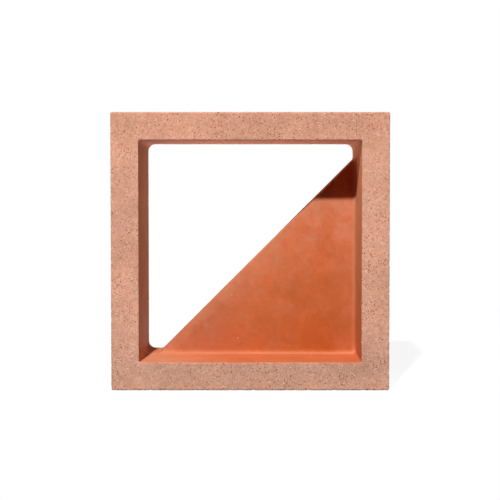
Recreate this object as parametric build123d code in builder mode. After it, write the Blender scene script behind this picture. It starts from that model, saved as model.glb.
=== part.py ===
"""Screen block cast in one piece: a square frame, open at the front, half closed by a triangular web."""
from math import radians, tan
import os

from build123d import *

# All sizes are in millimetres. X is the width, Y the depth, Z the height.
# The block stands on its bottom edge with its front face at -Y.
# The origin is the middle of the rectangle that it stands on.

# Driving dimensions
width = 300.0
height = 300.0
depth = 100.0
frame_wall = 30.0  # face width of each frame bar, measured at the front
web_thickness = 40.0  # the web is flush with the back of the frame
draft_angle = 1.4  # degrees that each inner wall leans in towards the back

# Where the diagonal edge of the web meets the inner walls, measured along
# them at the back face: down from the top wall, and in from the left wall.
diagonal_inset = 16.7

# Roundings
outer_corner = 2.0  # four long edges of the frame
front_corner = 2.0  # corners of the opening at the front face
back_corner = 8.0  # corners of the opening at the back face
blunt_flat = 3.0  # flats that ease the hole's two blunt corners, along each face
cove = 5.0  # hollow rounding between the web and the inner walls
arris = 1.0  # rims of both faces

# Places that follow from the sizes
front_y = -depth / 2
back_y = depth / 2
web_front_y = back_y - web_thickness
mid_height = height / 2
opening_width = width - 2 * frame_wall
opening_height = height - 2 * frame_wall
taper = depth * tan(radians(draft_angle))
back_opening_width = opening_width - 2 * taper
back_opening_height = opening_height - 2 * taper

# The cove has to fit inside the rounded corner of the opening at the web.
recess_share = (web_front_y - front_y) / depth
corner_at_web = front_corner + (back_corner - front_corner) * recess_share
cove_fit = 0.95
web_cove = min(cove, cove_fit * corner_at_web)

# Plane.XZ looks along -Y, so its offsets carry the opposite sign of Y.
front_plane = Plane.XZ.offset(-front_y)
back_plane = Plane.XZ.offset(-back_y)
web_plane = Plane.XZ.offset(-web_front_y)

# The sloping plane that the web stops at: it runs straight from front to back.
diagonal_top = Vector(
    back_opening_width / 2,
    0,
    mid_height + back_opening_height / 2 - diagonal_inset,
)
diagonal_bottom = Vector(
    -back_opening_width / 2 + diagonal_inset,
    0,
    mid_height - back_opening_height / 2,
)
diagonal_run = diagonal_top - diagonal_bottom
diagonal_normal = diagonal_run.cross(Vector(0, 1, 0))
diagonal_plane = Plane(origin=diagonal_bottom, x_dir=diagonal_run, z_dir=diagonal_normal)


def rounded_opening(plane, opening_w, opening_h, corner):
    """One section of the mould core, centred on the block."""
    with BuildSketch(plane) as section:
        with Locations((0, mid_height)):
            RectangleRounded(opening_w, opening_h, corner)
    return section.sketch


front_section = rounded_opening(front_plane, opening_width, opening_height, front_corner)
back_section = rounded_opening(
    back_plane, back_opening_width, back_opening_height, back_corner
)

# The core that forms the recess in front of the web: it tapers, its corners
# open out from the front to the back, and its nose is rounded for the cove.
# It reaches past the diagonal only as far as the flats at its ends do.
with BuildPart() as recess_core:
    loft(sections=[front_section, back_section], ruled=True)
    split(bisect_by=web_plane, keep=Keep.TOP)
    nose = recess_core.faces().sort_by(Axis.Y)[-1]
    fillet(nose.edges(), radius=web_cove)
    split(bisect_by=diagonal_plane.offset(blunt_flat), keep=Keep.BOTTOM)

# The core that forms the hole: the same taper from front to back, cut off
# along the diagonal, with its two blunt corners eased by flats.
with BuildPart() as hole_core:
    loft(sections=[front_section, back_section], ruled=True)
    split(bisect_by=diagonal_plane, keep=Keep.TOP)
    slope = hole_core.faces().filter_by(diagonal_plane)[0]
    blunt_edges = slope.edges().sort_by(lambda edge: abs(edge.tangent_at(0.5).Y))[-2:]
    chamfer(blunt_edges, length=blunt_flat)

# The block is the rounded outer form less the two cores, with the rims of
# both faces eased. The front edge of the web's slope is left crisp.
with BuildPart() as breeze_block:
    with BuildSketch(front_plane):
        with Locations((0, mid_height)):
            RectangleRounded(width, height, outer_corner)
    extrude(amount=-depth)
    add(recess_core.part, mode=Mode.SUBTRACT)
    add(hole_core.part, mode=Mode.SUBTRACT)
    front_rims = breeze_block.faces().sort_by(Axis.Y)[0].edges()
    back_rims = breeze_block.faces().sort_by(Axis.Y)[-1].edges()
    fillet(front_rims + back_rims, radius=arris)

breeze_block.part.label = "breeze_block"

os.makedirs("parts", exist_ok=True)
export_step(breeze_block.part, "parts/breeze_block.step")
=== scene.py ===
"""Look of a terracotta-coloured cast concrete screen block.

The file is laid out as a Blender add-on and is run as a script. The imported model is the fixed
frame. All lengths are in metres in that frame: the front face looks along -Y.
"""
import math
import random

import bmesh
import bpy
from bpy.props import FloatProperty, FloatVectorProperty, IntProperty, PointerProperty
from mathutils import Matrix, Vector, noise


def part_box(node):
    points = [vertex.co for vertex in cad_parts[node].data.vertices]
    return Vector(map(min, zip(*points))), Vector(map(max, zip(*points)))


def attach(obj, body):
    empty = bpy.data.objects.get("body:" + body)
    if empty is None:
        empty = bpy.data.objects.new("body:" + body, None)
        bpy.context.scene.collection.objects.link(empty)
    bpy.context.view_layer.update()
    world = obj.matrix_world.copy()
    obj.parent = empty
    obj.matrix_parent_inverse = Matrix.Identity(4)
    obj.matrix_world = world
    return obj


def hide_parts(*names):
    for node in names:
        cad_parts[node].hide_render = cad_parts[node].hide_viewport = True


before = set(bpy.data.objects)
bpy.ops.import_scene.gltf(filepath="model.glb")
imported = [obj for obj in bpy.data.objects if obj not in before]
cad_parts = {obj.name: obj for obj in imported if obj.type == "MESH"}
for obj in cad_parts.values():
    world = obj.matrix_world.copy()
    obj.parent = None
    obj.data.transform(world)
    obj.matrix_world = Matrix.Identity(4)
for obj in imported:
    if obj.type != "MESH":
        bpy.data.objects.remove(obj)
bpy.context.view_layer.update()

bl_info = {
    "name": "Screen block",
    "version": (1, 0, 0),
    "blender": (4, 5, 0),
    "location": "3D View > Sidebar > Screen block",
    "description": "Makes a cast concrete screen block, sandy and smooth, and its stage",
    "category": "Add Mesh",
}

NODE = "breeze_block"
NODE_LOW, NODE_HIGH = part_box(NODE)
PHOTO_WIDTH = 500.0  # pixels, and as many high
SENSOR_WIDTH = 36.0  # millimetres


def linear(hex_colour):
    """An sRGB hex colour such as "D79E84" as linear red, green and blue."""
    channels = [int(hex_colour[i : i + 2], 16) / 255 for i in (0, 2, 4)]
    return tuple(c / 12.92 if c <= 0.04045 else ((c + 0.055) / 1.055) ** 2.4 for c in channels)


def length(name, description, metres):
    """A property that holds a length."""
    return FloatProperty(name=name, description=description, default=metres, unit="LENGTH")


def swatch(name, description, hex_colour):
    """A property that holds a colour, from its sRGB hex value."""
    return FloatVectorProperty(
        name=name,
        description=description,
        default=linear(hex_colour),
        subtype="COLOR",
    )


# Sizes and colours that a user would change


class ScreenBlockShape(bpy.types.PropertyGroup):
    """Sizes of the block's form. Width, height and depth come from the frame."""

    bar: length("Bar", "Face width of each bar of the frame", 0.030)
    web_thickness: length("Web", "Thickness of the triangular web, flush with the back", 0.040)
    draft: FloatProperty(
        name="Draft",
        description="Lean of each inner wall towards the back",
        default=math.radians(1.4),
        subtype="ANGLE",
    )
    diagonal_inset: length(
        "Diagonal inset", "From the hole's corner to the end of the diagonal, at the back", 0.0167
    )
    outer_corner: length("Outer corner", "Rounding of the four long edges", 0.002)
    front_corner: length("Front corner", "Corner radius of the opening at the front", 0.002)
    back_corner: length("Back corner", "Corner radius of the opening at the back", 0.008)
    cove: length("Cove", "Hollow rounding between web and walls", 0.005)
    blunt_round: length("Blunt rounding", "Rounding where the slope meets the walls", 0.007)
    inner_arris: length("Inner arris", "Rounding of the opening's rims", 0.0005)
    outer_arris: length("Outer arris", "Rounding of the outer rims", 0.0014)


class ScreenBlockRelief(bpy.types.PropertyGroup):
    """Sizes of the surface relief that is real geometry."""

    cell: length("Cell", "Pitch of the mesh across the faces", 0.0022)
    depth_cell: length("Depth cell", "Pitch of the mesh along the depth", 0.005)
    grit_depth: length("Grit", "Depth of the sandy relief", 0.00016)
    chip_depth: length("Chips", "Depth of the wear along the rims", 0.0006)
    ripple_depth: length("Ripple", "Height of the soft waves in the cast skin", 0.00025)
    pores_per_dm2: IntProperty(
        name="Pores", description="Open pores on each square decimetre of sandy face", default=40
    )
    pore_size: length("Pore", "Width of a middling pore", 0.0011)
    seed: IntProperty(name="Seed", description="Seed of the pores' places", default=7)


class ScreenBlockColours(bpy.types.PropertyGroup):
    """Colours of the concrete. They were matched to the photograph together with the lamps."""

    sand_dark: swatch("Dark sand", "Darker side of the sandy face's grit", "BB8168")
    sand_pale: swatch("Pale sand", "Paler side of the sandy face's grit", "F8BFA6")
    rubbed: swatch("Rubbed paste", "Smoother patches of the face", "D79C82")
    ochre: swatch("Ochre sand", "Patches where ochre sand shows", "DCA588")
    rough: swatch("Rough patches", "Patches with open, darker paste", "C58C73")
    grain: swatch("Quartz grains", "Pale grains of quartz sand", "F0CDB5")
    hollow: swatch("Hollows", "Shallow hollows left by grains", "B3795F")
    pore: swatch("Pores", "Bottoms of open pores", "8A523A")
    foot_tint: FloatVectorProperty(
        name="Foot tint",
        description="Shade of the face towards its foot",
        default=(0.905, 0.94, 0.955),
        subtype="COLOR",
    )
    top_tint: FloatVectorProperty(
        name="Top tint",
        description="Shade of the face towards its top",
        default=(0.92, 0.90, 0.88),
        subtype="COLOR",
    )
    skin: swatch("Cast skin", "Middle colour of the cast skin", "D4764F")
    skin_deep: swatch("Deep skin", "Where the cast skin is deepest", "BF5F2D")
    skin_brown: swatch("Brown skin", "Lower left end of the web", "AA684E")
    skin_walls: swatch("Wall skin", "Foot of the walls", "CC8657")
    # Painted light: the walls are drawn paler towards the top, in place of the light that falls
    # there
    wall_top_painted_light: swatch("Dry wall skin", "Top of the walls, drier and paler", "ECA77C")
    # Painted light: the top wall of the opening is drawn paler, in place of light bounced up onto
    # it from below
    roof_painted_light: swatch("Roof skin", "Top wall of the opening", "EAA084")
    skin_floor: swatch("Floor skin", "Floor of the recess", "C76D44")
    floor_pale: swatch("Pale floor", "Left end of the recess's floor", "D18563")
    # The cove's skin is drawn paler than the walls', as a painted highlight where its rounding
    # catches the light
    cove_skin_and_highlight: swatch("Cove skin", "Hollow between the web and the walls", "C88462")
    skin_bloom: swatch("Lime bloom", "Pale bloom where the web meets the walls", "BE8268")
    skin_haze: swatch("Haze", "Thin wisps of lime on the web", "D88C6A")
    skin_speck: swatch("Skin specks", "Pale specks of lime in the skin", "DC9A78")
    skin_pit: swatch("Skin pits", "Pinholes in the skin", "A4502F")
    skin_bright: swatch("Bright patches", "Fresh patches of the cast skin", "DD744B")
    skin_dull: swatch("Dull patches", "Patches with a thin bloom of lime", "D07A56")


class ScreenBlockStage(bpy.types.PropertyGroup):
    """Camera, lamps and floor."""

    camera_place: FloatVectorProperty(
        name="Camera",
        description="Place of the camera",
        default=(0.0046, -1.3480, 0.2334),
        subtype="TRANSLATION",
    )
    camera_pitch: FloatProperty(
        name="Pitch",
        description="How far the camera looks down",
        default=math.radians(2.0),
        subtype="ANGLE",
    )
    focal_pixels: FloatProperty(
        name="Focal length", description="Focal length in pixels of the photograph", default=1210.3
    )
    centre_pixel: FloatVectorProperty(
        name="Axis",
        description="Pixel that the camera's axis meets",
        default=(254.5, 216.3),
        size=2,
    )
    key_place: FloatVectorProperty(
        name="Key lamp",
        description="Place of the key lamp",
        default=(-0.40, -2.06, 2.46),
        subtype="TRANSLATION",
    )
    key_size: length("Key size", "Width of the key lamp", 0.13)
    key_power: FloatProperty(
        name="Key power",
        description="Power of the key lamp in watts",
        default=130.0,
    )
    fill_place: FloatVectorProperty(
        name="Side fill",
        description="Place of the side fill",
        default=(1.6, -0.9, 0.25),
        subtype="TRANSLATION",
    )
    fill_size: length("Fill size", "Width of the side fill", 0.6)
    fill_power: FloatProperty(
        name="Fill power",
        description="Power of the side fill in watts",
        default=3.0,
    )
    card_place: FloatVectorProperty(
        name="Back lamp",
        description="Place of the lamp that lies on the floor behind",
        default=(-0.085, 0.35, 0.002),
        subtype="TRANSLATION",
    )
    card_size: length("Back lamp size", "Width of the lamp behind", 0.20)
    card_power: FloatProperty(
        name="Back lamp power",
        description="Power of the lamp behind in watts",
        default=1.15,
    )
    back_light: FloatProperty(
        name="Back light", description="Strength of the white light from behind", default=1.0
    )
    front_light: FloatProperty(
        name="Front light", description="Strength of the dim light from in front", default=0.01
    )
    left_share: FloatProperty(
        name="Left share",
        description="Share of the soft light from the left",
        default=0.35,
    )
    right_share: FloatProperty(
        name="Right share",
        description="Share of the soft light from the right",
        default=0.1,
    )
    paper_front: swatch("Paper in front", "Colour of the floor in front", "282828")
    paper_behind: swatch("Paper behind", "Colour of the floor behind", "EFEFEF")


# The block's form

STRUCK, CAST = 0, 1  # material_index while the mesh is made: sandy face, smooth skin from the mould
CORNER_SEGMENTS = 6
COVE_SEGMENTS = 6
ARRIS_SEGMENTS = 2
ON_PLANE = 1e-6  # metres within which a corner counts as on a plane
RIM_ANGLE = math.radians(30)  # the edges of the two faces that turn by more than this are rims


def outline(bm, half_width, half_height, corner, y, mid_height, finish):
    """A rounded rectangle that stands across the depth at y, as one face."""
    verts = bmesh.ops.create_grid(bm, x_segments=1, y_segments=1, size=0.5)["verts"]
    bmesh.ops.scale(bm, vec=(2 * half_width, 2 * half_height, 1), verts=verts)
    bmesh.ops.rotate(bm, cent=(0, 0, 0), matrix=Matrix.Rotation(math.pi / 2, 3, "X"), verts=verts)
    bmesh.ops.translate(bm, vec=(0, y, mid_height), verts=verts)
    rounded = bmesh.ops.bevel(
        bm,
        geom=verts,
        offset=corner,
        affect="VERTICES",
        segments=CORNER_SEGMENTS,
        profile=0.5,
        material=-1,
    )
    face = rounded["verts"][0].link_faces[0]
    face.material_index = finish
    return face


def bridge(bm, first, second, finish):
    """Faces between two chains of edges."""
    made = bmesh.ops.bridge_loops(bm, edges=list(first) + list(second))["faces"]
    for face in made:
        face.material_index = finish
    return made


def with_parts(faces):
    """The faces with their edges and corners, as bisect_plane wants them."""
    parts = dict.fromkeys(faces)
    for face in faces:
        parts.update(dict.fromkeys(face.edges))
        parts.update(dict.fromkeys(face.verts))
    return list(parts)


def block_form(shape):
    """The whole block as one closed mesh of large faces, with its rims eased."""
    width = NODE_HIGH.x - NODE_LOW.x
    height = NODE_HIGH.z - NODE_LOW.z
    front, back = NODE_LOW.y, NODE_HIGH.y
    middle = (NODE_HIGH.z + NODE_LOW.z) / 2
    web_front = back - shape.web_thickness
    cove_start = web_front - shape.cove

    def opening(y):
        """Half width, half height and corner radius of the opening at depth y."""
        lean = (y - front) * math.tan(shape.draft)
        share = (y - front) / (back - front)
        corner = shape.front_corner + (shape.back_corner - shape.front_corner) * share
        return width / 2 - shape.bar - lean, height / 2 - shape.bar - lean, corner

    bm = bmesh.new()

    # Outer form
    ends = [
        outline(bm, width / 2, height / 2, shape.outer_corner, y, middle, STRUCK)
        for y in (front, back)
    ]
    outer_front, outer_back = (list(face.edges) for face in ends)
    bridge(bm, outer_front, outer_back, STRUCK)
    bmesh.ops.delete(bm, geom=ends, context="FACES_ONLY")

    # Recess: tapered walls, then the cove, then the front of the web
    rings = [outline(bm, *opening(y), y, middle, CAST) for y in (front, cove_start)]
    half_width, half_height, corner = opening(web_front)
    for step in range(1, COVE_SEGMENTS + 1):
        turn = math.pi / 2 * step / COVE_SEGMENTS
        inset = shape.cove * (1 - math.cos(turn))
        y = cove_start + shape.cove * math.sin(turn)
        rings.append(
            outline(bm, half_width - inset, half_height - inset, corner - inset, y, middle, CAST)
        )
    inner_front = list(rings[0].edges)
    cove = []
    for first, second in zip(rings, rings[1:]):
        made = bridge(bm, first.edges, second.edges, CAST)
        if first is not rings[0]:
            cove += made
    bmesh.ops.delete(bm, geom=rings[:-1], context="FACES_ONLY")

    # Above the diagonal the cove and the web are cut away, and the walls run on to the back
    back_half_width, back_half_height, back_corner = opening(back)
    upper_end = Vector((back_half_width, 0, middle + back_half_height - shape.diagonal_inset))
    lower_end = Vector((-back_half_width + shape.diagonal_inset, 0, middle - back_half_height))
    up_left = Vector((lower_end.z - upper_end.z, 0, upper_end.x - lower_end.x)).normalized()

    def height_above(point):
        return (Vector(point) - upper_end).dot(up_left)

    closing = cove + [rings[-1]]
    cut = bmesh.ops.bisect_plane(
        bm,
        geom=with_parts(closing),
        dist=ON_PLANE,
        plane_co=upper_end,
        plane_no=up_left,
    )
    behind = [face for face in cut["geom"] if isinstance(face, bmesh.types.BMFace)]
    above = [face for face in behind if height_above(face.calc_center_median()) > 0]
    bmesh.ops.delete(bm, geom=above, context="FACES")

    hole_back = outline(bm, back_half_width, back_half_height, back_corner, back, middle, CAST)
    cut = bmesh.ops.bisect_plane(
        bm,
        geom=with_parts([hole_back]),
        dist=ON_PLANE,
        plane_co=upper_end,
        plane_no=up_left,
        clear_inner=True,
    )
    hole_back = next(
        face for face in cut["geom"] if isinstance(face, bmesh.types.BMFace) and face.is_valid
    )
    hole_rim = list(hole_back.edges)
    bmesh.ops.delete(bm, geom=[hole_back], context="FACES_ONLY")

    def on_slope(edge):
        return all(abs(height_above(v.co)) < ON_PLANE for v in edge.verts)

    loose = [
        edge
        for edge in bm.edges
        if edge.is_boundary
        and all(abs(v.co.y - cove_start) < ON_PLANE for v in edge.verts)
        and all(height_above(v.co) > -ON_PLANE for v in edge.verts)
    ]
    bridge(bm, loose, [edge for edge in hole_rim if not on_slope(edge)], CAST)

    # The slope that closes the web towards the hole
    rim = [edge for edge in bm.edges if len(edge.link_faces) < 2 and on_slope(edge)]
    slope = bmesh.ops.contextual_create(bm, geom=rim)["faces"][0]
    slope.material_index = CAST

    # Ring of the front face, and back face
    for edges in (outer_front + inner_front, outer_back + hole_rim):
        filled = bmesh.ops.triangle_fill(
            bm,
            use_beauty=True,
            use_dissolve=True,
            edges=edges,
            normal=(0, 1, 0),
        )
        for face in filled["geom"]:
            if isinstance(face, bmesh.types.BMFace):
                face.material_index = STRUCK
    bmesh.ops.recalc_face_normals(bm, faces=bm.faces)

    # Rims of the front face and of the back face, eased
    rims = [
        edge
        for edge in bm.edges
        if any(all(abs(v.co.y - end) < ON_PLANE for v in edge.verts) for end in (front, back))
        and edge.calc_face_angle(0) > RIM_ANGLE
    ]
    inner = [edge for edge in rims if any(face.material_index == CAST for face in edge.link_faces)]
    outer = [edge for edge in rims if edge not in inner]
    for edges, radius in ((inner, shape.inner_arris), (outer, shape.outer_arris)):
        bmesh.ops.bevel(
            bm,
            geom=edges,
            offset=radius,
            affect="EDGES",
            segments=ARRIS_SEGMENTS,
            profile=0.5,
            material=STRUCK,
        )
    return bm, height_above


# Surface relief

SNAP = 0.08  # share of a cell within which a cut takes a corner that is already there
FINE_FRONT = 1.2  # the finer mesh reaches back by this many roundings of the outer rims
BLUNT_REACH = 0.45  # share of the blunt rounding that is smoothed on each side of its corner
BLUNT_ROUNDS = 6
SLACK = 1e-5  # metres by which a corner may miss its depth and still count
SHARP_ANGLE = math.radians(42)  # edges that turn by more than this stay sharp in the shading

OCTAVE_FADE, OCTAVE_STEP = 0.6, 2.0  # how fast finer octaves fade, and how much finer each is

# Widths of the relief's patches in metres, and shifts that keep the patterns apart
GRIT_SIZE, SWELL_SIZE, CHIP_SIZE, WAVE_SIZE, LIP_SIZE = 0.0025, 0.018, 0.005, 0.030, 0.014
SWELL_SHIFT, CHIP_SHIFT, WAVE_SHIFT = Vector((3, 0, 0)), Vector((0, 5, 0)), Vector((0, 0, 7))
LIP_ROW = 11  # a row of the noise that no other pattern reads
GRIT_SHARE, SWELL_SHARE = 0.6, 0.4
ON_RIM = 0.985  # a corner of the mesh whose normal keeps less than this to one axis is on a rim
MOSTLY_CAST = 0.6
CHIP_NOISE = (0.15, 0.8)  # a chip starts at the first value of its noise and is full at the second
CHIP_HEIGHTS = (0.04, 0.10)  # metres above the foot between which the wear of the rims falls off
CHIP_LOSS = 0.55  # share of the wear that is gone above them
LIP_NOISE = (-0.5, 0.4)
LIP_SKIN = 0.6  # how far the smooth skin reaches over the lower rim of the recess

DM2_PER_M2 = 100
ON_FACE = 0.99  # a cell whose normal keeps more than this to one axis lies on a face
SLIVER = 0.5  # share of a whole cell below which a cell gets no pore
PORE_RADII = (0.3, 0.75)  # smallest and largest radius, as shares of the pore size
PORE_ROOM = 0.42  # most of its cell's narrowest side that a pore takes as its radius
PORE_RIM, PORE_STEP = 0.12, 0.08  # insets that make a pore's rim and its wall, as shares of a cell
PORE_OVAL = 0.18
PORE_BOTTOM = 0.8  # width of a pore's bottom as a share of its mouth
PORE_DEPTHS = (0.9, 1.2)  # shallowest and deepest, as shares of its radius


def sliced(bm, faces, axis, places, snap):
    """Cuts the faces by planes across one axis, and each half on its own after every cut."""
    if not places or not faces:
        return faces
    middle = len(places) // 2
    point, normal = Vector((0, 0, 0)), Vector((0, 0, 0))
    point[axis], normal[axis] = places[middle], 1
    cut = bmesh.ops.bisect_plane(
        bm,
        geom=with_parts(faces),
        dist=snap,
        plane_co=point,
        plane_no=normal,
    )
    low, high = [], []
    for item in cut["geom"]:
        if isinstance(item, bmesh.types.BMFace):
            side = low if item.calc_center_median()[axis] < places[middle] else high
            side.append(item)
    below = sliced(bm, low, axis, places[:middle], snap)
    return below + sliced(bm, high, axis, places[middle + 1 :], snap)


def even_places(low, high, pitch):
    """Places between low and high, about pitch apart."""
    steps = round((high - low) / pitch)
    return [low + (high - low) * step / steps for step in range(1, steps)]


def smooth_step(low, high, value):
    """0 below low and 1 above high, with a smooth rise between them."""
    share = min(max((value - low) / (high - low), 0), 1)
    return share * share * (3 - 2 * share)


def cloud(point, size, octaves=3):
    """Soft noise, from about -1 to 1, whose patches are about as wide as size."""
    return noise.fractal(point / size, OCTAVE_FADE, OCTAVE_STEP, octaves)


def weather(bm, relief, cast_layer):
    """Moves the skin inwards: sandy relief, worn rims, and soft waves in the cast skin."""
    bm.normal_update()
    middle = (NODE_HIGH.z + NODE_LOW.z) / 2
    moves = []
    for vert in bm.verts:
        point, normal = vert.co.copy(), vert.normal.copy()
        cast_faces = sum(face.material_index == CAST for face in vert.link_faces)
        cast = cast_faces / max(len(vert.link_faces), 1)
        on_rim = max(abs(c) for c in normal) < ON_RIM and cast < MOSTLY_CAST
        if point.z < middle:
            reach = smooth_step(*LIP_NOISE, cloud(Vector((point.x, LIP_ROW, 0)), LIP_SIZE, 2))
            cast = max(cast, LIP_SKIN * reach * normal.z)
        vert[cast_layer] = cast
        grit = 0.5 + 0.5 * cloud(point, GRIT_SIZE, 2)
        swell = 0.5 + 0.5 * cloud(point + SWELL_SHIFT, SWELL_SIZE, 2)
        sandy = relief.grit_depth * (GRIT_SHARE * grit + SWELL_SHARE * swell)
        if on_rim:
            chip = smooth_step(*CHIP_NOISE, cloud(point + CHIP_SHIFT, CHIP_SIZE, 3))
            worn = 1 - CHIP_LOSS * smooth_step(*CHIP_HEIGHTS, point.z)
            sandy += relief.chip_depth * chip * worn
        skin = relief.ripple_depth * 0.5 * cloud(point + WAVE_SHIFT, WAVE_SIZE, 2)
        moves.append((vert, normal * -(sandy * (1 - cast) + skin * cast)))
    for vert, move in moves:
        vert.co += move


def open_pores(bm, relief):
    """Small round pits in the sandy faces."""
    chance = random.Random(relief.seed)
    face_cell = relief.cell / 2  # the front face has the finer mesh
    smallest = SLIVER * face_cell**2
    flat = [
        face
        for face in bm.faces
        if face.material_index == STRUCK
        and len(face.verts) == 4
        and face.calc_area() > smallest
        and max(abs(c) for c in face.normal) > ON_FACE
    ]
    chosen, used = [], set()
    for face in flat:
        wanted = face.calc_area() * DM2_PER_M2 * relief.pores_per_dm2
        if chance.random() < wanted and not used.intersection(face.verts):
            chosen.append(face)
            used.update(face.verts)
    heart = {}
    for face in chosen:
        room = min(edge.calc_length() for edge in face.edges)
        radius = min(relief.pore_size * chance.uniform(*PORE_RADII), PORE_ROOM * room)
        long_way = chance.uniform(0, math.pi)
        heart[face] = (face.calc_center_median(), face.normal.copy(), radius, long_way)
    bmesh.ops.inset_individual(bm, faces=chosen, thickness=PORE_RIM * face_cell)
    mouths = list(dict.fromkeys(edge for face in chosen for edge in face.edges))
    bmesh.ops.subdivide_edges(bm, edges=mouths, cuts=1)
    for face in chosen:
        centre, _, radius, long_way = heart[face]
        for vert in face.verts:
            arm = (vert.co - centre).normalized()
            oval = 1 + PORE_OVAL * math.cos(2 * (arm.x + arm.z + long_way))
            vert.co = centre + arm * radius * oval
    bmesh.ops.inset_individual(bm, faces=chosen, thickness=PORE_STEP * face_cell)
    for face in chosen:
        centre, normal, radius, _ = heart[face]
        for vert in face.verts:
            bottom = centre + (vert.co - centre) * PORE_BOTTOM
            vert.co = bottom - normal * radius * chance.uniform(*PORE_DEPTHS)


# The block


def finished_block(shape, relief):
    """The block's mesh with its relief and pores."""
    bm, height_above = block_form(shape)
    front, back = NODE_LOW.y, NODE_HIGH.y
    web_front = back - shape.web_thickness
    faces = bm.faces[:]
    for axis, pitch in ((1, relief.depth_cell), (0, relief.cell), (2, relief.cell)):
        places = even_places(NODE_LOW[axis], NODE_HIGH[axis], pitch)
        faces = sliced(bm, faces, axis, places, SNAP * relief.cell)

    # The front face and its rims get a finer mesh
    fine_end = front + FINE_FRONT * shape.outer_arris
    near = [face for face in bm.faces if face.calc_center_median().y < fine_end]
    near_edges = list(dict.fromkeys(edge for face in near for edge in face.edges))
    bmesh.ops.subdivide_edges(bm, edges=near_edges, cuts=1, use_grid_fill=True)

    # The hole's two blunt corners are rounded
    def near_blunt_corner(point):
        lean = (point.y - front) * math.tan(shape.draft)
        wall = (NODE_HIGH.x - NODE_LOW.x) / 2 - shape.bar - lean
        floor = NODE_LOW.z + shape.bar + lean
        reach = shape.blunt_round * BLUNT_REACH
        from_sides = min(wall - point.x, point.z - floor)
        behind = point.y > web_front - shape.cove - SLACK
        return behind and abs(height_above(point)) < reach and from_sides < reach

    near = [vert for vert in bm.verts if near_blunt_corner(vert.co)]
    for _ in range(BLUNT_ROUNDS):
        bmesh.ops.smooth_vert(
            bm,
            verts=near,
            factor=0.5,
            use_axis_x=True,
            use_axis_y=False,
            use_axis_z=True,
        )

    cast_layer = bm.verts.layers.float.new("cast")
    weather(bm, relief, cast_layer)
    open_pores(bm, relief)
    return bm


def shade(mesh, sharp_angle):
    """Smooth shading, with the edges steeper than the angle kept sharp."""
    mesh.shade_smooth()
    mesh.set_sharp_from_angle(angle=sharp_angle)


# Materials

NODE_STEP = 180  # spacing of a material's nodes in the editor
NOISE_LOW, NOISE_HIGH = 0.30, 0.70  # nearly all of a noise's values lie between these
CLOUD_ROUGHNESS = 0.6
CLOUD_SWIRL = 0.8  # how far the clouds of bloom on the web are drawn out
SPECK_HEART = 0.6  # share of a speck's radius that has its full colour

# Tints that stand in for shade which the lamps don't give
LEFT_WALL_SHADE = (0.80, 0.80, 0.80, 1)
CORNER_SHADE = (0.80, 0.78, 0.78, 1)
WEB_FOOT_SHADE = (0.89, 0.88, 0.86, 1)


def add(tree, kind, settings=None, links=None):
    """Adds a node. Settings are its own or its inputs' values, and links feed its inputs."""
    node = tree.nodes.new(kind)
    node.location.x = NODE_STEP * len(tree.nodes)
    for name, value in (settings or {}).items():
        if isinstance(name, str) and hasattr(node, name):
            setattr(node, name, value)
        else:
            node.inputs[name].default_value = value
    for name, source in (links or {}).items():
        if isinstance(source, bpy.types.NodeSocket):
            tree.links.new(source, node.inputs[name])
        else:
            node.inputs[name].default_value = source
    return node


def per(millimetres):
    """Scale of a pattern whose cells are that wide."""
    return 1000.0 / millimetres


def rgba(colour):
    """A colour with full alpha, as a colour socket wants it."""
    return (*colour, 1.0)


def patched(tree, place, colour, patches, swirl=0.0):
    """Soft-edged patches laid over a colour, each mixed in as far as its strength says."""
    for cell, octaves, shift, start, full, strength, tint in patches:
        moved = add(tree, "ShaderNodeMapping", {"Location": shift}, {"Vector": place})
        spread = add(
            tree,
            "ShaderNodeTexNoise",
            {
                "Scale": per(cell),
                "Detail": octaves,
                "Roughness": CLOUD_ROUGHNESS,
                "Distortion": swirl,
            },
            {"Vector": moved.outputs["Vector"]},
        )
        share = add(
            tree,
            "ShaderNodeMapRange",
            {"From Min": start, "From Max": full, "To Max": strength},
            {"Value": spread.outputs["Fac"]},
        )
        mixed = add(
            tree,
            "ShaderNodeMix",
            {"data_type": "RGBA", 7: rgba(tint)},
            {0: share.outputs["Result"], 6: colour},
        )
        colour = mixed.outputs[2]
    return colour


def zoned(tree, colour, zones, blend="MIX"):
    """Colours laid over another, each rising from where its source is at start to full strength."""
    for source, start, full, strength, tint in zones:
        share = add(
            tree,
            "ShaderNodeMapRange",
            {"From Min": start, "From Max": full, "To Max": strength},
            {"Value": source},
        )
        mixed = add(
            tree,
            "ShaderNodeMix",
            {"data_type": "RGBA", "blend_type": blend},
            {0: share.outputs["Result"], 6: colour, 7: tint},
        )
        colour = mixed.outputs[2]
    return colour


def uneven(tree, place, colour, waves):
    """A colour made a little darker and lighter by soft waves."""
    for cell, octaves, shift, darkest, lightest in waves:
        moved = add(tree, "ShaderNodeMapping", {"Location": shift}, {"Vector": place})
        spread = add(
            tree,
            "ShaderNodeTexNoise",
            {"Scale": per(cell), "Detail": octaves, "Roughness": CLOUD_ROUGHNESS},
            {"Vector": moved.outputs["Vector"]},
        )
        level = add(
            tree,
            "ShaderNodeMapRange",
            {"From Min": NOISE_LOW, "From Max": NOISE_HIGH, "To Min": darkest, "To Max": lightest},
            {"Value": spread.outputs["Fac"]},
        )
        shaded = add(
            tree,
            "ShaderNodeMix",
            {"data_type": "RGBA", "blend_type": "MULTIPLY", 0: 1.0},
            {6: colour, 7: level.outputs["Result"]},
        )
        colour = shaded.outputs[2]
    return colour


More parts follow.
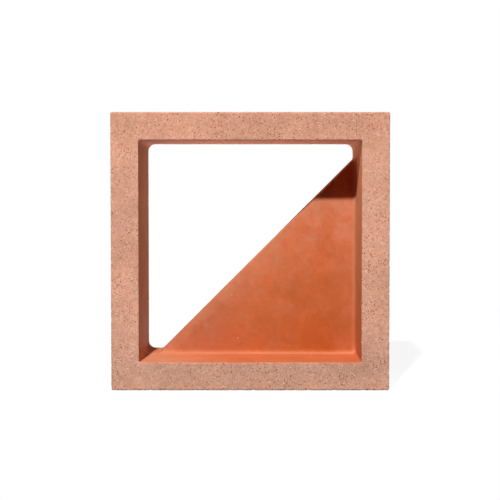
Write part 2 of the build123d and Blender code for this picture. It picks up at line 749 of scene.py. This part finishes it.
def strewn(tree, place, colour, specks, crowding):
    """Round specks strewn over a colour, crowded together where the crowding is high."""
    for cell, radius, shift, fewest, most, tint in specks:
        moved = add(tree, "ShaderNodeMapping", {"Location": shift}, {"Vector": place})
        cells = add(
            tree,
            "ShaderNodeTexVoronoi",
            {"Scale": per(cell)},
            {"Vector": moved.outputs["Vector"]},
        )
        heart = add(
            tree,
            "ShaderNodeMapRange",
            {"From Min": radius / cell, "From Max": SPECK_HEART * radius / cell},
            {"Value": cells.outputs["Distance"]},
        )
        lot = add(tree, "ShaderNodeSeparateColor", None, {"Color": cells.outputs["Color"]})
        chance = add(
            tree,
            "ShaderNodeMapRange",
            {"To Min": fewest, "To Max": most},
            {"Value": crowding},
        )
        drawn = add(
            tree,
            "ShaderNodeMath",
            {"operation": "LESS_THAN"},
            {0: lot.outputs["Red"], 1: chance.outputs["Result"]},
        )
        share = add(
            tree,
            "ShaderNodeMath",
            {"operation": "MULTIPLY"},
            {0: heart.outputs["Result"], 1: drawn.outputs["Value"]},
        )
        mixed = add(
            tree,
            "ShaderNodeMix",
            {"data_type": "RGBA", 7: rgba(tint)},
            {0: share.outputs["Value"], 6: colour},
        )
        colour = mixed.outputs[2]
    return colour


def sandy_finish(tree, place, colours):
    """Colour and height of the struck faces.

    Sand and cement scraped level and left open: matt and pale, with dark and pale grit, smoother
    patches where the paste was rubbed over, pale quartz grains, and dark pores that crowd together
    in places. The sand is 0.3 to 1 mm across and its pores about as wide. That is less than a pixel
    of the photograph, so both are drawn at 1 to 2 mm.
    """
    grit = add(
        tree,
        "ShaderNodeTexNoise",
        {"Scale": per(1.3), "Detail": 2.0, "Roughness": 0.75},
        {"Vector": place},
    ).outputs["Fac"]
    share = add(
        tree,
        "ShaderNodeMapRange",
        {"From Min": NOISE_LOW, "From Max": NOISE_HIGH},
        {"Value": grit},
    )
    sand = add(
        tree,
        "ShaderNodeMix",
        {"data_type": "RGBA", 6: rgba(colours.sand_dark), 7: rgba(colours.sand_pale)},
        {0: share.outputs["Result"]},
    )
    face = patched(
        tree,
        place,
        sand.outputs[2],
        (
            # Width in mm, detail, shift, start, full, strength and colour
            (9, 3, (0, 0, 0), 0.46, 0.66, 0.55, colours.rubbed),
            (13, 3, (0.7, 0, 0), 0.48, 0.66, 0.45, colours.ochre),
            (6, 2, (0, 0.4, 0), 0.52, 0.70, 0.40, colours.rough),
        ),
    )
    face = uneven(
        tree,
        place,
        face,
        (
            # Width in mm, detail, shift, darkest and lightest
            (55, 2, (0, 2, 0), 0.90, 1.10),
            (4, 2, (0.3, 0, 0), 0.95, 1.05),
        ),
    )
    thick = add(
        tree,
        "ShaderNodeTexNoise",
        {"Scale": per(38), "Detail": 2.0, "Roughness": CLOUD_ROUGHNESS},
        {"Vector": place},
    ).outputs["Fac"]
    crowding = add(
        tree,
        "ShaderNodeMapRange",
        {"From Min": 0.40, "From Max": 0.62},
        {"Value": thick},
    )
    face = strewn(
        tree,
        place,
        face,
        (
            # Spacing and radius in mm, shift, smallest and largest chance, and colour
            (2.4, 0.85, (0, 0, 0), 0.03, 0.08, colours.grain),
            (2.6, 1.10, (0, 0, 0.5), 0.04, 0.20, colours.hollow),
            (2.2, 0.80, (0.5, 0, 0), 0.02, 0.17, colours.pore),
        ),
        crowding.outputs["Result"],
    )
    # The foot and the top are tinted darker, in place of shade that the photograph has there
    height = add(tree, "ShaderNodeSeparateXYZ", None, {"Vector": place}).outputs["Z"]
    face = zoned(
        tree,
        face,
        (
            # Source, start, full, strength and tint
            (height, 0.075, 0.020, 1.0, rgba(colours.foot_tint)),
            (height, 0.245, 0.285, 1.0, rgba(colours.top_tint)),
        ),
        "MULTIPLY",
    )
    return face, grit


def mould_finish(tree, place, colours):
    """Colour and height of the faces that were cast against the mould.

    A closed, smooth skin rich in pigment: a deep orange with soft clouds of lime bloom tens of
    millimetres wide. The walls are drawn paler towards the top as painted light, and the
    coves paler as a painted highlight.
    """
    axes = add(tree, "ShaderNodeSeparateXYZ", None, {"Vector": place}).outputs
    across, depth, height = axes["X"], axes["Y"], axes["Z"]
    # Rises from the lower right corner to the slope, which it meets at 0.133
    slant = add(tree, "ShaderNodeMath", {"operation": "SUBTRACT"}, {0: height, 1: across})
    slant = slant.outputs["Value"]
    sideways = add(tree, "ShaderNodeMath", {"operation": "ABSOLUTE"}, {0: across})
    bloom, haze, deep = rgba(colours.skin_bloom), rgba(colours.skin_haze), rgba(colours.skin_deep)

    # A patch is its width in mm, detail, shift, start, full, strength and colour. A zone is what it
    # follows, its start, where it is full, its strength and its colour

    # The web: bright and dull clouds, deeper towards its lower right corner, and painted shade
    # towards its foot
    clouds = (
        (45, 3, (0, 0.3, 0), 0.40, 0.62, 1.0, colours.skin_bright),
        (28, 4, (0, 0, 0.9), 0.45, 0.68, 1.0, colours.skin_dull),
    )
    web = patched(tree, place, rgba(colours.skin), clouds, CLOUD_SWIRL)
    ends = (
        (slant, 0.15, -0.04, 1.0, deep),
        (across, 0.0, -0.055, 0.50, rgba(colours.skin_brown)),
    )
    web = zoned(tree, web, ends)
    web = zoned(tree, web, ((height, 0.15, 0.035, 1.0, WEB_FOOT_SHADE),), "MULTIPLY")
    # Lime bloom: small wisps, patches along the slope, and a haze by the walls and at the top
    wisps = (
        (26, 2, (0.4, 0, 0.1), 0.48, 0.66, 0.13, colours.skin_haze),
        (21, 2, (0.9, 0, 0.6), 0.48, 0.66, 0.22, colours.skin_deep),
    )
    web = patched(tree, place, web, wisps, CLOUD_SWIRL)
    haze_patches = ((24, 3, (0.3, 0, 0), 0.42, 0.60, 0.42, colours.skin_haze),)
    hazy = patched(tree, place, web, haze_patches, CLOUD_SWIRL)
    # The last row lies under the top bar, where the photograph's shadow is redder than the lamps'
    borders = (
        (slant, 0.100, 0.128, 1.0, hazy),
        (height, 0.110, 0.170, 1.0, hazy),
        (slant, 0.116, 0.132, 0.35, haze),
        (across, 0.088, 0.106, 0.18, bloom),
        (height, 0.165, 0.225, 0.28, bloom),
        (height, 0.202, 0.218, 0.65, deep),
    )
    web = zoned(tree, web, borders)

    # The walls: paler towards the top as painted light, and darker on the left as painted shade.
    # The floor is paler at its left end
    pale_end = ((across, -0.020, -0.100, 1.0, rgba(colours.floor_pale)),)
    floor = zoned(tree, rgba(colours.skin_floor), pale_end)
    painted_light_at_top = ((height, 0.05, 0.24, 1.0, rgba(colours.wall_top_painted_light)),)
    walls = zoned(tree, rgba(colours.skin_walls), painted_light_at_top)
    walls = zoned(tree, walls, ((across, 0.11, -0.12, 1.0, LEFT_WALL_SHADE),), "MULTIPLY")
    # Painted light: the top wall of the opening is paler still, in place of light bounced up onto
    # it
    roof_and_floor = (
        (height, 0.262, 0.268, 1.0, rgba(colours.roof_painted_light)),
        (height, 0.040, 0.034, 1.0, floor),
    )
    walls = zoned(tree, walls, roof_and_floor)
    walls = zoned(tree, walls, ((slant, 0.31, 0.38, 1.0, CORNER_SHADE),), "MULTIPLY")
    # Painted shade: the cove is drawn deeper lower down the walls; where it meets the floor it
    # takes the floor's pale colour
    cove_foot = (
        (height, 0.20, 0.05, 0.6, deep),
        (height, 0.045, 0.038, 0.5, rgba(colours.floor_pale)),
    )
    cove = zoned(tree, rgba(colours.cove_skin_and_highlight), cove_foot)

    # The cove is paler than the walls, as a painted highlight, and ends where the walls of the hole
    # begin, and the web's colours stop short of the walls that run on past it to the back
    ramps = {}
    for name, source, start, full in (
        ("below_hole", slant, 0.135, 0.125),
        ("at_cove", depth, 0.0025, 0.0060),
        ("at_web", depth, 0.0078, 0.0098),
        ("off_walls", sideways.outputs["Value"], 0.1165, 0.1130),
        ("off_roof", height, 0.2665, 0.2620),
    ):
        ramp = add(
            tree,
            "ShaderNodeMapRange",
            {"From Min": start, "From Max": full},
            {"Value": source},
        )
        ramps[name] = ramp.outputs["Result"]
    in_cove = add(
        tree,
        "ShaderNodeMath",
        {"operation": "MULTIPLY"},
        {0: ramps["at_cove"], 1: ramps["below_hole"]},
    )
    on_web = ramps["at_web"]
    for name in ("off_walls", "off_roof"):
        least = add(tree, "ShaderNodeMath", {"operation": "MINIMUM"}, {0: on_web, 1: ramps[name]})
        on_web = least.outputs["Value"]
    layers = ((in_cove.outputs["Value"], 0, 1, 1.0, cove), (on_web, 0, 1, 1.0, web))
    skin = zoned(tree, walls, layers)

    waves = ((22, 3, (1.3, 0, 0), 0.94, 1.06), (5, 3, (0, 0, 0), 0.96, 1.04))
    skin = uneven(tree, place, skin, waves)
    ripple = add(
        tree,
        "ShaderNodeTexNoise",
        {"Scale": per(3.5), "Detail": 2.0},
        {"Vector": place},
    ).outputs["Fac"]
    specks = (
        (7, 0.8, (0, 0, 0.2), 0.0, 0.10, colours.skin_speck),
        (8, 0.7, (0.2, 0, 0), 0.0, 0.14, colours.skin_pit),
    )
    return strewn(tree, place, skin, specks, ripple), ripple


def cast_concrete(colours):
    """Pigmented sand and cement, packed into a mould: sandy where struck, smooth where moulded.

    Dry concrete is matt. The specular level is far below the usual 0.5: it was lowered until the
    shaded places matched the photograph, which shows no gloss.
    """
    material = bpy.data.materials.new("cast_concrete")
    material.use_nodes = True
    tree = material.node_tree
    tree.nodes.clear()
    place = add(tree, "ShaderNodeTexCoord").outputs["Object"]
    cast = add(tree, "ShaderNodeAttribute", {"attribute_name": "cast"}).outputs["Fac"]
    face, grit = sandy_finish(tree, place, colours)
    skin, ripple = mould_finish(tree, place, colours)
    colour = add(tree, "ShaderNodeMix", {"data_type": "RGBA"}, {0: cast, 6: face, 7: skin})
    height = add(tree, "ShaderNodeMix", None, {0: cast, 2: grit, 3: ripple})
    bump = add(
        tree,
        "ShaderNodeBump",
        {"Strength": 0.35, "Distance": 0.0004},
        {"Height": height.outputs[0]},
    )
    gloss = add(tree, "ShaderNodeMapRange", {"To Min": 0.9, "To Max": 0.7}, {"Value": cast})
    shader = add(
        tree,
        "ShaderNodeBsdfPrincipled",
        {"IOR": 1.5, "Specular IOR Level": 0.01},
        {
            "Base Color": colour.outputs[2],
            "Roughness": gloss.outputs["Result"],
            "Normal": bump.outputs["Normal"],
        },
    )
    add(tree, "ShaderNodeOutputMaterial", None, {"Surface": shader.outputs["BSDF"]})
    return material


# Stage

PAPER_CHANGE = 0.10  # metres before and behind the block's middle over which the paper turns pale
SHADOW_FULL, SHADOW_END = 0.35, 0.90  # metres from the block between which its shadow fades
SHADOW_GLOW = 0.90  # the paper's glow where it carries the shadow
SHADOW_PAPER = linear("686868")
WORLD_EDGE = 0.12  # Y of the direction, 1 straight behind, from which the soft light is full
FLOOR_REACH = 6  # metres from the middle of the floor to its edges
FLOOR_DROP = 0.0002  # keeps the floor clear of the block's foot
SIGHT = 50  # metres that the camera sees


def seen_directly(tree):
    """1 where a camera, a reflection or a pane of glass looks at the surface, 0 for its light."""
    rays = add(tree, "ShaderNodeLightPath").outputs
    seen = rays["Is Camera Ray"]
    for name in ("Is Glossy Ray", "Is Transmission Ray"):
        either = add(tree, "ShaderNodeMath", {"operation": "MAXIMUM"}, {0: seen, 1: rays[name]})
        seen = either.outputs["Value"]
    return seen


def matt_paper_floor(stage):
    """A sheet of matt paper with the block's faint shadow on it.

    It is white to the camera. To the light it is dark in front of the block and pale behind,
    because white paper in front would fill the shadow in the recess.
    """
    material = bpy.data.materials.new("matt_paper_floor")
    material.use_nodes = True
    tree = material.node_tree
    tree.nodes.clear()
    place = add(tree, "ShaderNodeTexCoord").outputs["Object"]
    depth = add(tree, "ShaderNodeSeparateXYZ", None, {"Vector": place}).outputs["Y"]
    share = add(
        tree,
        "ShaderNodeMapRange",
        {"From Min": -PAPER_CHANGE, "From Max": PAPER_CHANGE},
        {"Value": depth},
    )
    tone = add(
        tree,
        "ShaderNodeMix",
        {"data_type": "RGBA", 6: rgba(stage.paper_front), 7: rgba(stage.paper_behind)},
        {0: share.outputs["Result"]},
    )
    paper = add(tree, "ShaderNodeBsdfDiffuse", None, {"Color": tone.outputs[2]}).outputs["BSDF"]
    # To the camera the paper glows white. Behind the block it glows a little less and reflects a
    # little instead, and that share of its light carries the shadow
    away = add(tree, "ShaderNodeVectorMath", {"operation": "LENGTH"}, {0: place})
    near = add(
        tree,
        "ShaderNodeMapRange",
        {"From Min": SHADOW_END, "From Max": SHADOW_FULL},
        {"Value": away.outputs["Value"]},
    )
    carried = add(
        tree,
        "ShaderNodeMath",
        {"operation": "MULTIPLY"},
        {0: near.outputs["Result"], 1: share.outputs["Result"]},
    )
    own = carried.outputs["Value"]
    level = add(tree, "ShaderNodeMapRange", {"To Min": 1.0, "To Max": SHADOW_GLOW}, {"Value": own})
    glow = add(tree, "ShaderNodeEmission", None, {"Strength": level.outputs["Result"]})
    glow = glow.outputs["Emission"]
    faint = add(
        tree,
        "ShaderNodeMix",
        {"data_type": "RGBA", 6: (0, 0, 0, 1), 7: rgba(SHADOW_PAPER)},
        {0: own},
    )
    shown = add(tree, "ShaderNodeBsdfDiffuse", None, {"Color": faint.outputs[2]}).outputs["BSDF"]
    sheet = add(tree, "ShaderNodeAddShader", None, {0: glow, 1: shown}).outputs["Shader"]
    mixed = add(tree, "ShaderNodeMixShader", None, {0: seen_directly(tree), 1: paper, 2: sheet})
    add(tree, "ShaderNodeOutputMaterial", None, {"Surface": mixed.outputs["Shader"]})
    return material


def studio_world(stage):
    """White to the camera, with a soft white light from behind the block, mostly from its left."""
    world = bpy.data.worlds.new("studio")
    world.use_nodes = True
    tree = world.node_tree
    tree.nodes.clear()
    towards = add(tree, "ShaderNodeTexCoord").outputs["Generated"]
    axes = add(tree, "ShaderNodeSeparateXYZ", None, {"Vector": towards}).outputs
    depth = add(
        tree,
        "ShaderNodeMapRange",
        {"From Max": WORLD_EDGE, "To Min": stage.front_light, "To Max": stage.back_light},
        {"Value": axes["Y"]},
    )
    side = add(
        tree,
        "ShaderNodeMapRange",
        {"From Min": -1.0, "To Min": stage.left_share, "To Max": stage.right_share},
        {"Value": axes["X"]},
    )
    power = add(
        tree,
        "ShaderNodeMath",
        {"operation": "MULTIPLY"},
        {0: depth.outputs["Result"], 1: side.outputs["Result"]},
    )
    light = add(
        tree,
        "ShaderNodeBackground",
        {"Color": (1, 1, 1, 1)},
        {"Strength": power.outputs["Value"]},
    )
    white = add(tree, "ShaderNodeBackground", {"Color": (1, 1, 1, 1), "Strength": 1.0})
    mixed = add(
        tree,
        "ShaderNodeMixShader",
        None,
        {0: seen_directly(tree), 1: light.outputs["Background"], 2: white.outputs["Background"]},
    )
    add(tree, "ShaderNodeOutputWorld", None, {"Surface": mixed.outputs["Shader"]})
    return world


# Operators


class MESH_OT_screen_block(bpy.types.Operator):
    """Makes the block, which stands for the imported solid"""

    bl_idname = "mesh.screen_block"
    bl_label = "Screen block"

    def execute(self, context):
        scene = context.scene
        bm = finished_block(scene.block_shape, scene.block_relief)
        if any(not edge.is_manifold for edge in bm.edges):
            raise RuntimeError("the block's mesh is not closed")
        for face in bm.faces:
            face.material_index = 0
        mesh = bpy.data.meshes.new("screen_block")
        bm.to_mesh(mesh)
        bm.free()
        shade(mesh, SHARP_ANGLE)
        mesh.materials.append(cast_concrete(scene.block_colours))
        block = bpy.data.objects.new("screen_block", mesh)
        scene.collection.objects.link(block)
        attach(block, "root")
        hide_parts(NODE)
        return {"FINISHED"}


class OBJECT_OT_screen_block_stage(bpy.types.Operator):
    """Makes the floor, the world, the lamps and the camera"""

    bl_idname = "object.screen_block_stage"
    bl_label = "Stage"

    def execute(self, context):
        scene = context.scene
        stage = scene.block_stage

        bm = bmesh.new()
        bmesh.ops.create_grid(bm, x_segments=1, y_segments=1, size=FLOOR_REACH)
        mesh = bpy.data.meshes.new("studio_floor")
        bm.to_mesh(mesh)
        bm.free()
        mesh.materials.append(matt_paper_floor(stage))
        floor = bpy.data.objects.new("studio_floor", mesh)
        floor.location.z = -FLOOR_DROP
        scene.collection.objects.link(floor)

        scene.world = studio_world(stage)

        middle = Vector((0, 0, (NODE_HIGH.z + NODE_LOW.z) / 2))
        above_card = Vector(stage.card_place) + Vector((0, 0, 1))
        for name, spot, aim, size, power in (
            ("key", stage.key_place, middle, stage.key_size, stage.key_power),
            ("side_fill", stage.fill_place, middle, stage.fill_size, stage.fill_power),
            ("back_card", stage.card_place, above_card, stage.card_size, stage.card_power),
        ):
            light = bpy.data.lights.new(name, "AREA")
            light.shape = "DISK"
            light.size = size
            light.energy = power
            lamp = bpy.data.objects.new(name, light)
            lamp.location = spot
            lamp.rotation_euler = (aim - lamp.location).to_track_quat("-Z", "Y").to_euler()
            lamp.visible_camera = False
            scene.collection.objects.link(lamp)

        camera = bpy.data.cameras.new("camera")
        camera.sensor_width = SENSOR_WIDTH
        camera.lens = stage.focal_pixels * SENSOR_WIDTH / PHOTO_WIDTH
        camera.shift_x = 0.5 - stage.centre_pixel[0] / PHOTO_WIDTH
        camera.shift_y = stage.centre_pixel[1] / PHOTO_WIDTH - 0.5
        camera.clip_end = SIGHT
        eye = bpy.data.objects.new("camera", camera)
        eye.location = stage.camera_place
        eye.rotation_euler = (math.pi / 2 - stage.camera_pitch, 0, 0)
        scene.collection.objects.link(eye)
        scene.camera = eye
        scene.view_settings.view_transform = "Standard"
        return {"FINISHED"}


class VIEW3D_PT_screen_block(bpy.types.Panel):
    """Lists the block and its stage"""

    bl_label = "Screen block"
    bl_idname = "VIEW3D_PT_screen_block"
    bl_space_type = "VIEW_3D"
    bl_region_type = "UI"
    bl_category = "Screen block"

    def draw(self, context):
        scene = context.scene
        for operator, groups in (
            (MESH_OT_screen_block, (scene.block_shape, scene.block_relief, scene.block_colours)),
            (OBJECT_OT_screen_block_stage, (scene.block_stage,)),
        ):
            box = self.layout.box()
            for group in groups:
                for name in group.bl_rna.properties.keys():
                    if name not in {"name", "rna_type"}:
                        box.prop(group, name)
            box.operator(operator.bl_idname)


GROUPS = {
    "block_shape": ScreenBlockShape,
    "block_relief": ScreenBlockRelief,
    "block_colours": ScreenBlockColours,
    "block_stage": ScreenBlockStage,
}
CLASSES = (
    *GROUPS.values(),
    MESH_OT_screen_block,
    OBJECT_OT_screen_block_stage,
    VIEW3D_PT_screen_block,
)


def register():
    for cls in CLASSES:
        bpy.utils.register_class(cls)
    for name, group in GROUPS.items():
        setattr(bpy.types.Scene, name, PointerProperty(type=group))


def unregister():
    for name in GROUPS:
        delattr(bpy.types.Scene, name)
    for cls in reversed(CLASSES):
        bpy.utils.unregister_class(cls)


def main():
    register()
    bpy.ops.mesh.screen_block()
    bpy.ops.object.screen_block_stage()


if __name__ == "__main__":
    main()
